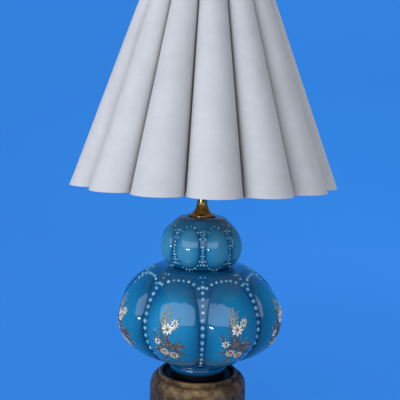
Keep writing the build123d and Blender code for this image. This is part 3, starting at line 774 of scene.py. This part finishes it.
def makeLowerBeads():
    mesh = bmesh.new()
    data = lowerBeads
    for index in range(lobeCount):
        valley = valleyTurn(index)
        for k, height in enumerate(data["rowHeights"]):
            swell = math.sin(math.pi * (0.06 + 0.80 * k / (len(data["rowHeights"]) - 1))) ** 0.7
            size = data["endSize"] + (data["rowSize"] - data["endSize"]) * swell
            turn = valley + random.uniform(-1, 1) * data["rowSway"]
            addBead(mesh, lowerGlass, turn, height * mm, size)
        addBead(mesh, lowerGlass, valley, data["tipHeight"], data["tipSize"])
        for side in (-1, 1):
            turn = valley + side * data["pairTurn"]
            addBead(mesh, lowerGlass, turn, data["pairHeight"], data["pairSize"])
        for place in data["archPlaces"]:
            height = data["archTop"] - data["archDrop"] * abs(place) ** data["archCurve"]
            turn = valley + lobeStep / 2 * (1 + place)
            addBead(mesh, lowerGlass, turn, height, data["archSize"])
    return mesh


upperBeads = {
    "rowHeights": (303, 308, 313, 318, 323, 328.5, 334),
    "rowSize": 2.1 * mm,
    "ringGap": 3.0 * mm,  # from a lobe's edge to the beads that follow it
    "ringSize": 1.9 * mm,
    "topRing": (-80, -60, -40, -20, 0, 20, 40, 60, 80),
    "bottomRing": (104, 120, 136, 151, 166, 180, 194, 209, 224, 240, 256),
    "pairHeight": 297 * mm,
    "pairTurn": 0.040,
    "fanHeights": (339, 343.5, 348, 352.5),  # beads that fan out above the row
    "fanSize": 1.45 * mm,
    "fanTurn": 0.046,
    "fanSway": 0.009,
}


def makeUpperBeads():
    mesh = bmesh.new()
    data = upperBeads
    form = upperGlass
    widest = lobeHalfTurn(form, form["centre"])
    for index in range(lobeCount):
        valley = valleyTurn(index)
        for height in data["rowHeights"]:
            addBead(mesh, form, valley, height * mm, data["rowSize"])
        for side in (-1, 1):
            addBead(mesh, form, valley + side * data["pairTurn"], data["pairHeight"], data["rowSize"])
        for row, height in enumerate(data["fanHeights"]):
            for k in range(row + 1):
                turn = valley + data["fanTurn"] * (k - row / 2)
                turn += random.uniform(-1, 1) * data["fanSway"]
                addBead(mesh, form, turn, (height + random.uniform(-1, 1)) * mm, data["fanSize"])
        for bearing in data["topRing"] + data["bottomRing"]:
            lean = math.radians(bearing)
            end = form["lobeTop"] if math.cos(lean) > 0 else form["lobeBottom"]
            reach = abs(end - form["centre"]) + data["ringGap"]
            height = form["centre"] + reach * math.cos(lean)
            aside = (widest + data["ringGap"] / form["radius"]) * math.sin(lean)
            turn = valley + lobeStep / 2 + max(min(aside, lobeStep / 2), -lobeStep / 2)
            addBead(mesh, form, turn, height, data["ringSize"])
    return mesh


keepPiece(makeLowerBeads(), "lowerGlassBeads", "stand", [finishes["bead"]])
keepPiece(makeUpperBeads(), "upperGlassBeads", "stand", [finishes["bead"]])
print("beads made")


# Applied flowers, laid out in millimetres on the middle of each lobe

spray = {
    "lift": 0.15 * mm,
    "height": 195 * mm,
    "daisies": [(-1, 14, 10.6, 8), (11, 24, 7.2, 7), (-19, -9, 7.0, 7)],  # across, up, size, petals
    "roses": [(-8, -26, 8.2), (7, -31, 8.2)],
    # stems: start, end, sideways bend, pairs of leaves, length of a leaf, and its kind
    "stems": [
        ((-5, 14), (-6, 46), 3, 12, 6.0, "sprig"),
        ((-3, 18), (3, 40), 2, 8, 5.0, "sprig"),
        ((-4, -16), (-12, 26), 4, 9, 6.5, "leaf"),
        ((-8, -18), (-25, 6), 3, 8, 6.5, "leaf"),
        ((-10, -22), (-24, -26), -2, 6, 6.0, "russet"),
        ((0, -14), (4, 12), 3, 7, 7.0, "russet"),
        ((2, -16), (18, -4), -4, 8, 6.5, "leaf"),
        ((6, -18), (27, -16), 3, 8, 6.0, "russet"),
        ((8, -22), (24, -30), 3, 6, 6.0, "leaf"),
        ((4, -34), (16, -42), 3, 5, 5.0, "leaf"),
        ((-8, -30), (-14, -44), 3, 5, 5.0, "russet"),
        ((-2, -20), (8, -10), 2, 5, 6.5, "leaf"),
        ((5, 12), (16, 32), -3, 7, 5.0, "sprig"),
    ],
}
# kind of enamel, then length, width and distance from the heart as shares of the flower's size,
# and the thickness in millimetres
flowerParts = {
    "rosePetal": ("cream", 0.66, 0.42, 0.34, 0.8),
    "roseHeart": ("brown", 0.70, 0.70, -0.35, 1.0),
    "roseDot": ("cream", 0.22, 0.18, 0.04, 1.6),
    "daisyPetal": ("petal", 1.0, 0.40, 0.20, 0.8),
    "daisyHeart": ("heart", 0.46, 0.46, -0.23, 1.3),
}
rosePetals = 10
roseDots = 6
enamelPlaces = {kind: place for place, kind in enumerate(enamels)}


def addPetal(mesh, seat, turn, length, width, kind, reach=0.0, thick=0.5):
    # A flat leaf shape that lies on the glass. It points away from its flower's heart.
    lie = seat @ Matrix.Rotation(turn, 4, "Z")
    lie = lie @ Matrix.Translation((reach + length / 2, 0, 0))
    size = Matrix.Diagonal((length / 2, width / 2, thick * mm, 1))
    petalStamp.press(mesh, lie @ size, enamelPlaces[kind])


def addFlowerPart(mesh, seat, turn, size, part, stretch=1.0):
    kind, length, width, reach, thick = flowerParts[part]
    long, wide = size * length * stretch * mm, size * width * mm
    addPetal(mesh, seat, turn, long, wide, kind, size * reach * mm, thick)


def addSpray(mesh, form, lobeMiddle):
    # one spray: daisies and cream flowers over stems with leaves and buds
    def spot(across, up):
        height = spray["height"] + up * mm
        turn = lobeMiddle + across * mm / glassRadius(form, lobeMiddle, height)
        point, outward = glassPoint(form, turn, height, spray["lift"])
        side = Vector((0, 0, 1)).cross(outward).normalized()
        facing = Matrix((side, outward.cross(side), outward)).transposed().to_4x4()
        return Matrix.Translation(point) @ facing

    for start, stop, bend, pairs, length, kind in spray["stems"]:
        start, stop = Vector(start), Vector(stop)
        along = stop - start
        aside = Vector((-along.y, along.x)).normalized() * bend
        heading = math.atan2(along.y, along.x)
        for k in range(pairs + 1):
            share = k / pairs
            place = start + along * share + aside * 4 * share * (1 - share)
            place += Vector((random.uniform(-0.7, 0.7), random.uniform(-0.7, 0.7)))
            seat = spot(*place)
            stemKind = "brown" if kind != "sprig" else "leaf"
            addPetal(mesh, seat, heading, along.length / pairs * 1.1 * mm, 0.8 * mm, stemKind)
            size = length * (1 - 0.55 * share) * random.uniform(0.8, 1.15)
            for side in (-1, 1):
                lean = heading + side * random.uniform(0.6, 1.1)
                addPetal(mesh, seat, lean, size * mm, size * 0.46 * mm, kind)
                if random.random() < 0.45:
                    bud = "cream" if kind == "sprig" else random.choice(("sprig", "brown", "cream"))
                    addPetal(mesh, seat, lean, 1.5 * mm, 1.5 * mm, bud, size * 0.9 * mm, 0.7)
    for across, up, size in spray["roses"]:
        seat = spot(across, up)
        for k in range(rosePetals):
            turn = math.tau * k / rosePetals + random.uniform(-0.06, 0.06)
            addFlowerPart(mesh, seat, turn, size, "rosePetal")
        addFlowerPart(mesh, seat, 0, size, "roseHeart")
        for k in range(roseDots):
            addFlowerPart(mesh, seat, math.tau * k / roseDots, size, "roseDot")
    for across, up, size, petals in spray["daisies"]:
        seat = spot(across, up)
        for k in range(petals):
            turn = math.tau * k / petals + random.uniform(-0.10, 0.10)
            addFlowerPart(mesh, seat, turn, size, "daisyPetal", random.uniform(0.74, 0.84))
        addFlowerPart(mesh, seat, 0, size, "daisyHeart")


def makeSprays():
    mesh = bmesh.new()
    for index in range(lobeCount):
        addSpray(mesh, lowerGlass, valleyTurn(index) + lobeStep / 2)
    return mesh


keepPiece(makeSprays(), "appliedFlowers", "stand", list(enamels.values()))
print("flowers made")


# Base

base = {
    "drum": 85.0 * mm,
    "flange": 92.5 * mm,
    "shoulderDrop": 29.0 * mm,
    "lipInner": 63.4 * mm,
    "lipWidth": 7.0 * mm,
    "lipHeight": 6.5 * mm,
    "lipLedge": 2.6 * mm,  # from the lip out to the top of the shoulder
    "groove": 1.6 * mm,  # depth of the groove that sets the lip off
    "well": 11 * mm,
    "deck": 5 * mm,
    "hole": 6 * mm,
    "wall": 4 * mm,
    "edge": 1.5 * mm,  # rounding at the foot of the flange
    "cove": (7.5 * mm, 7 * mm),  # from the flange in to the drum
    "steps": 200,
    "unevenness": ((55, 0.35 * mm), (190, 0.15 * mm)),  # scale and depth of the rough casting
}


def makeBase():
    low, high = bottom("base_casting"), top("base_casting")
    shoulder = high - base["shoulderDrop"]
    edge, half, wall = base["edge"], base["lipWidth"] / 2, base["wall"]
    slopeTop = base["lipInner"] + base["lipWidth"] + base["lipLedge"]
    lipFoot = high - base["lipHeight"]
    well, deck = high - base["well"], high - base["well"] - base["deck"]
    points = [(base["drum"] - 8 * mm, low), (base["flange"] - edge, low)]
    points += rounded((base["flange"] - edge, low + edge), (edge, edge), -80, 30, 5)
    points += rounded((base["flange"], 15 * mm), base["cove"], 262, 180, 8)
    points += [(base["drum"], shoulder - 20 * mm)]
    points += rounded((slopeTop, shoulder), (base["drum"] - slopeTop, lipFoot - shoulder), 0, 90, 16)
    points += [(slopeTop - base["groove"], lipFoot - 1.3 * mm)]
    points += rounded((base["lipInner"] + half, high - half), (half, half), -20, 180, 12)
    points += [(base["lipInner"], well), (base["hole"], well), (base["hole"], deck)]
    points += [(base["lipInner"], deck), (base["drum"] - wall, shoulder - wall)]
    points += [(base["drum"] - wall, low + 6 * mm)]
    mesh = spinProfile(points, base["steps"])
    for vert in mesh.verts:
        if math.hypot(vert.co.x, vert.co.y) > base["lipInner"] + 1 * mm and vert.co.z > low + 4 * mm:
            rough = sum(noise.noise(vert.co * scale) * depth for scale, depth in base["unevenness"])
            vert.co += Vector((vert.co.x, vert.co.y, 0)).normalized() * rough
    return mesh


keepPiece(makeBase(), "gildedBase", "stand", [finishes["gilt"]], 45, ["base_casting"])
print("base made")


# Trumpet cap and finial

cap = {
    "rim": 24.4 * mm,
    "rimHeight": 3.0 * mm,
    "neck": 8.8 * mm,
    "flare": 24.0 * mm,
    "wall": 1.4 * mm,
    "ledge": 0.6 * mm,  # from the rim's edge in to the foot of the flare
    "bead": 1.6 * mm,  # radius of the rim's rolled edge
    "hole": 6.0 * mm,
    "roof": 2.8 * mm,  # thickness of the neck's closed top
}


def makeTrumpet():
    low, high = bottom("trumpet_cap"), top("trumpet_cap")
    foot, roll, roof = cap["rim"] - cap["ledge"], cap["bead"], high - cap["roof"]
    middle = (foot, low + cap["rimHeight"] + cap["flare"])
    flare = rounded(middle, (foot - cap["neck"], cap["flare"]), 268, 180, 22)
    bead = rounded((cap["rim"] - roll, low + roll), (roll, roll), -90, 80, 9)
    ring = rounded((cap["neck"], high - 4.2 * mm), (1.0 * mm, 1.2 * mm), -80, 80, 6)
    outside = bead + flare + ring + [(cap["neck"], high - 0.4 * mm), (cap["neck"] - 0.4 * mm, high)]
    inside = [(cap["hole"], high), (cap["hole"], roof), (cap["neck"] - cap["wall"], roof)]
    inside += [(radius - cap["wall"], height) for radius, height in reversed(flare[:-1])]
    return outside + inside


turnedPiece("trumpetCap", "stand", "darkBrass", makeTrumpet(), 96, 40, ["trumpet_cap"])


finial = {
    "hole": 3.3 * mm,
    "holeDepth": 11 * mm,
    "foot": 7.5 * mm,
    "waist": 5.0 * mm,
    "ball": 9.0 * mm,
    "ballShare": 0.56,  # height of the ball's middle over the whole finial
}


def makeFinialProfile():
    low, high = bottom("finial"), top("finial")
    ball = low + finial["ballShare"] * (high - low)
    foot, waist = finial["foot"], finial["waist"]
    points = [(finial["hole"], low), (foot - 0.3 * mm, low), (foot, low + 0.4 * mm), (foot, low + 2.2 * mm)]
    points += rounded((foot, low + 5.0 * mm), (foot - waist, 2.6 * mm), 262, 180, 6)
    points += [(waist, low + 8.6 * mm)]
    points += rounded((0, ball), (finial["ball"], finial["ball"]), -52, 62, 18)
    points += rounded((3.4 * mm, ball + 10.6 * mm), (0.9 * mm, 1.6 * mm), -60, 60, 5)
    points += [(2.2 * mm, ball + 13.0 * mm), (1.2 * mm, high - 1.2 * mm), (0, high), (0, low + 12 * mm)]
    return points + [(finial["hole"], low + finial["holeDepth"])]


turnedPiece("finialKnob", "finial", "darkBrass", makeFinialProfile(), 72, 40, ["finial"])
print("brass made")


# Bulb

bulb = {"radius": 30.0 * mm, "neck": 13.6 * mm, "wall": 1.0 * mm}


def makeBulbProfile():
    low, high = bottom("bulb_glass"), top("bulb_glass")
    reach, neck, wall = bulb["radius"], bulb["neck"], bulb["wall"]
    outside = [(neck, low), (neck, low + 7 * mm), (neck + 0.8 * mm, low + 12 * mm)]
    outside += rounded((0, high - reach), (reach, reach), -42, 90, 30)
    inside = []
    for radius, height in reversed(outside):
        onAxis = radius <= wall
        inside.append((0, height - wall) if onAxis else (radius - wall, height))
    return outside + inside


turnedPiece("bulbEnvelope", "bulb", "frosted", makeBulbProfile(), 64, 60, ["bulb_glass"])


# Shade

shade = {
    "flutes": 14,
    "turn": math.radians(5.2),
    "bottomRadius": 228.6 * mm,
    "topRadius": 101.2 * mm,
    "roundness": 0.88,
    "wall": 1.2 * mm,
    "columns": 32,
    "rows": 36,
    "slack": 0.8 * mm,  # how unevenly the cloth lies between two valleys
    "edge": 12 * mm,  # from a rim to where the cloth has come free of its ring
    "girth": 1.2775,  # of the weave's map, in metres round the shade half way up
    "pinch": 9.0 * mm,  # how much deeper the valleys fold in than the stiff cover
    "pinchWidth": 0.05,
    "foldShadeWidth": 0.13,  # how far from a valley the painted shade in the fold reaches
}


shadeLow, shadeHigh = bottom("shade_cover"), top("shade_cover")


def fluteShape(height):
    # valley radius, arc radius and arc centre of a flute at a height
    share = (height - shadeLow) / (shadeHigh - shadeLow)
    crest = shade["bottomRadius"] + (shade["topRadius"] - shade["bottomRadius"]) * share
    half = math.pi / shade["flutes"]
    valley = crest / (math.cos(half) + shade["roundness"] * math.sin(half))
    halfWidth = valley * math.sin(half)
    depth = shade["roundness"] * halfWidth
    arc = (halfWidth**2 + depth**2) / (2 * depth)
    return valley, arc, crest - arc


def flutePoint(flute, across, height, inset):
    # a point on a flute's arc, with across from -1 to 1 between its two valleys
    valley, arc, hub = fluteShape(height)
    half = math.pi / shade["flutes"]
    end = math.pi - math.atan2(valley * math.sin(half), hub - valley * math.cos(half))
    bend = end * across
    along = hub + (arc - inset) * math.cos(bend)
    aside = (arc - inset) * math.sin(bend)
    middle = shade["turn"] - math.pi / 2 + flute * 2 * half
    return around(math.hypot(along, aside), middle + math.atan2(aside, along), height)


def makeShadeCover():
    low, high = shadeLow, shadeHigh
    steps = shade["flutes"] * shade["columns"]
    outside = [(1.0, low + (high - low) * k / shade["rows"]) for k in range(shade["rows"] + 1)]
    inside = [(0.9, height) for radius, height in outside[::-1]]
    mesh = spinProfile(outside + inside, steps)
    weave = mesh.loops.layers.uv.new("weave")
    fold = mesh.verts.layers.float.new("fold")
    for vert in mesh.verts:
        inner = math.hypot(vert.co.x, vert.co.y) < 0.95
        column = round(math.atan2(vert.co.y, vert.co.x) / math.tau * steps) % steps
        flute, place = divmod(column, shade["columns"])
        across = math.sin(math.pi / 2 * (2 * place / shade["columns"] - 1))
        height = vert.co.z
        point = flutePoint(flute, across, height, shade["wall"] if inner else 0.0)
        slack = noise.noise(Vector((point.x * 14, point.y * 14, height * 9))) * (1 - across**8)
        outward = Vector((point.x, point.y, 0)).normalized()
        nearEdge = min(1.0, (height - low) / shade["edge"], (high - height) / shade["edge"])
        pinch = shade["pinch"] * math.exp(-(((1 - abs(across)) / shade["pinchWidth"]) ** 2)) * nearEdge
        # painted shade, strongest in each valley's fold
        vert[fold] = math.exp(-(1 - abs(across)) / shade["foldShadeWidth"])
        sag = shade["slack"] * (0.5 + 0.5 * slack) * nearEdge * (1 - across**8)
        vert.co = point - outward * (sag + pinch)
    spread = math.hypot(high - low, shade["bottomRadius"] - shade["topRadius"])
    for face in mesh.faces:
        centre = face.calc_center_median()
        middle = math.atan2(centre.y, centre.x)
        for loop in face.loops:
            turn = math.atan2(loop.vert.co.y, loop.vert.co.x)
            turn -= math.tau * round((turn - middle) / math.tau)
            share = (loop.vert.co.z - low) / (high - low)
            loop[weave].uv = (turn / math.tau * shade["girth"], share * spread)
    return mesh


shadeMesh = makeShadeCover()
bmesh.ops.recalc_face_normals(shadeMesh, faces=shadeMesh.faces)
for shadeFace in shadeMesh.faces:
    middle = shadeFace.calc_center_median()
    if shadeFace.normal.dot(Vector((middle.x, middle.y, 0))) < 0 and abs(shadeFace.normal.z) < 0.9:
        shadeFace.material_index = 1
cloths = [finishes["linen"], finishes["lining"]]
shadeCover = keepPiece(shadeMesh, "shadeCover", "shade", cloths, 62, ["shade_cover"])
print("shade made")


# CAD pieces that keep their shape

kept = {
    "felt": ["felt_pad"],
    "blackMoulding": ["cord_bushing", "switch_knob"],
    "zinc": ["base_washer", "base_locknut", "lamp_pipe", "set_screw"],
    "blackLacquer": ["foot_seat", "waist_collar"],
    "brass": [
        "neck_locknut", "harp_saddle", "socket_cap", "socket_shell", "centre_contact", "harp_wire",
        "harp_stud", "harp_sleeve_left", "harp_sleeve_right", "bulb_tip",
    ],
    "fibre": ["socket_insulator"],
    "ceramic": ["socket_block"],
    "aluminium": ["screw_shell", "bulb_cap"],
    "whiteWire": ["shade_spider", "shade_top_ring", "shade_bottom_ring"],
}
for finishName, names in kept.items():
    for nodeName in names:
        data = nodes[nodeName].data
        data.materials.clear()
        data.materials.append(finishes[finishName])
print("kept pieces finished")


# Stage, light and camera

stage = {"half": 3.2, "back": 1.7, "bend": 0.7, "wall": 3.4}


def makeStage():
    # a floor that lies under the lamp and curves up behind it
    mesh = bmesh.new()
    outline = [(-stage["half"], 0.0), (stage["back"], 0.0)]
    outline += rounded((stage["back"], stage["bend"]), (stage["bend"], stage["bend"]), -80, 0, 8)
    outline += [(stage["back"] + stage["bend"], stage["wall"])]
    corners = [mesh.verts.new((-stage["half"], y, z)) for y, z in outline]
    for pair in zip(corners, corners[1:]):
        mesh.edges.new(pair)
    made = bmesh.ops.extrude_edge_only(mesh, edges=mesh.edges[:])
    moved = [item for item in made["geom"] if isinstance(item, bmesh.types.BMVert)]
    bmesh.ops.translate(mesh, verts=moved, vec=(2 * stage["half"], 0, 0))
    bmesh.ops.recalc_face_normals(mesh, faces=mesh.faces)
    paper = Finish("bluePaper", Roughness=0.9, Specular_IOR_Level=0.1)
    rays = paper.node("ShaderNodeLightPath").socket.node.outputs
    seen = Signal(paper, rays["Is Camera Ray"]) + Signal(paper, rays["Is Glossy Ray"])
    seen = (seen + Signal(paper, rays["Is Transmission Ray"])).upTo(1)
    # blue to the eye and in reflections, and a neutral grey in what it casts back
    paper.set(Base_Color=paper.mix(seen, tone(196, 198, 202), tone(30, 84, 142)))
    paper.set(Emission_Color=paper.mix(seen, tone(0, 0, 0), tone(41, 110, 190)), Emission_Strength=1.0)
    floor = meshObject(mesh, "floor", [paper.material])


makeStage()

studio = {"fill": (0.86, 0.90, 1.0, 1), "fillStrength": 0.10, "seen": tone(46, 122, 210)}
world = bpy.data.worlds.new("studio")
world.use_nodes = True
sky = world.node_tree
fill = sky.nodes["Background"]
fill.inputs["Color"].default_value = studio["fill"]
fill.inputs["Strength"].default_value = studio["fillStrength"]
seenSky = sky.nodes.new("ShaderNodeBackground")
seenSky.inputs["Color"].default_value = studio["seen"]
skyRays = sky.nodes.new("ShaderNodeLightPath")
either = sky.nodes.new("ShaderNodeMath")
either.operation = "MAXIMUM"
sky.links.new(skyRays.outputs["Is Camera Ray"], either.inputs[0])
sky.links.new(skyRays.outputs["Is Glossy Ray"], either.inputs[1])
skyMix = sky.nodes.new("ShaderNodeMixShader")
sky.links.new(either.outputs[0], skyMix.inputs[0])
sky.links.new(fill.outputs[0], skyMix.inputs[1])
sky.links.new(seenSky.outputs[0], skyMix.inputs[2])
sky.links.new(skyMix.outputs[0], sky.nodes["World Output"].inputs["Surface"])
bpy.context.scene.world = world

lampTint = (0.89, 0.93, 1.0)
softboxes = {  # place, size, power, aim, and whether it shows in polished surfaces
    "keyLight": ((-0.5, -2.2, 1.9), (7.4, 3.0), 98, (0, 0, 0.45), True),
    "leftLight": ((-2.3, -0.9, 1.2), (1.2, 1.6), 13, (0, 0, 0.5), False),
    "glint": ((-1.4, -2.2, 0.22), (1.0, 0.16), 14, (0, 0, 0.25), True),
    "backLight": ((0.9, 2.1, 2.2), (2.4, 1.6), 62, (0, 0, 0.4), False),
}
for lightName, (place, size, power, aim, seen) in softboxes.items():
    lamp = bpy.data.lights.new(lightName, "AREA")
    lamp.shape = "RECTANGLE"
    lamp.size, lamp.size_y = size
    lamp.energy = power
    lamp.color = lampTint
    holder = addObject(lightName, lamp)
    holder.visible_glossy = seen
    holder.location = place
    holder.rotation_euler = (Vector(aim) - Vector(place)).to_track_quat("-Z", "Y").to_euler()

view = {
    "lens": 67.3,
    "sensor": 36.0,
    "at": (-0.004, -1.284, 0.558),
    "down": 7.05,
    "roll": 1.43,
}
cameraData = bpy.data.cameras.new("photoCamera")
cameraData.lens = view["lens"]
cameraData.sensor_width = view["sensor"]
camera = addObject("photoCamera", cameraData)
pitch = Matrix.Rotation(math.radians(90 - view["down"]), 4, "X")
roll = Matrix.Rotation(math.radians(view["roll"]), 4, "Z")
camera.matrix_world = Matrix.Translation(view["at"]) @ pitch @ roll
bpy.context.scene.camera = camera
bpy.context.scene.view_settings.view_transform = "Standard"
print("stage, light and camera set")
